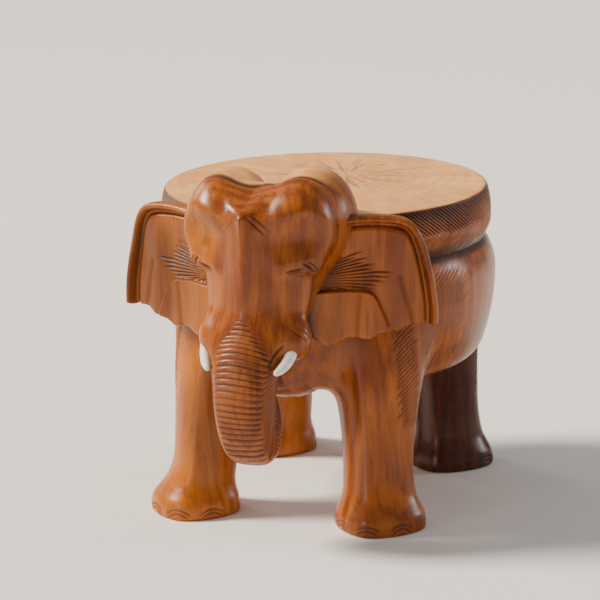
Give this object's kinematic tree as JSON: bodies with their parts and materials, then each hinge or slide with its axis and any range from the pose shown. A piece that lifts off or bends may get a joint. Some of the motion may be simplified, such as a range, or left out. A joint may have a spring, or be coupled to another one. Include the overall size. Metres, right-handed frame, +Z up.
{
  "type": "elephant stool",
  "caption": "Low round stool carved from a log as a standing elephant: the seat is its back, with a domed head, wide ears, a curled trunk and short white tusks in front.",
  "frame": {"origin": "centre of the object's outline, on the floor under the four soles; the seat's axis stands 37 mm behind it", "axes": "+Z up, out of the seat; the elephant faces -Y, so +Y runs from the head to the tail; +X is the elephant's left"},
  "size_m": [0.284, 0.374, 0.2998],
  "materials": {
    "wood": "clear gloss varnish",
    "seat_wood": "clear gloss varnish",
    "tusk": "satin"
  },
  "bodies": {
    "root": {"seat": "seat_wood", "torso": "wood", "tail": "wood", "head": "wood", "trunk": "wood", "ear_left": "wood", "ear_right": "wood", "leg_front_left": "wood", "leg_front_right": "wood", "leg_rear_left": "wood", "leg_rear_right": "wood", "tusk_left": "tusk", "tusk_right": "tusk"}
  },
  "joints": []
}
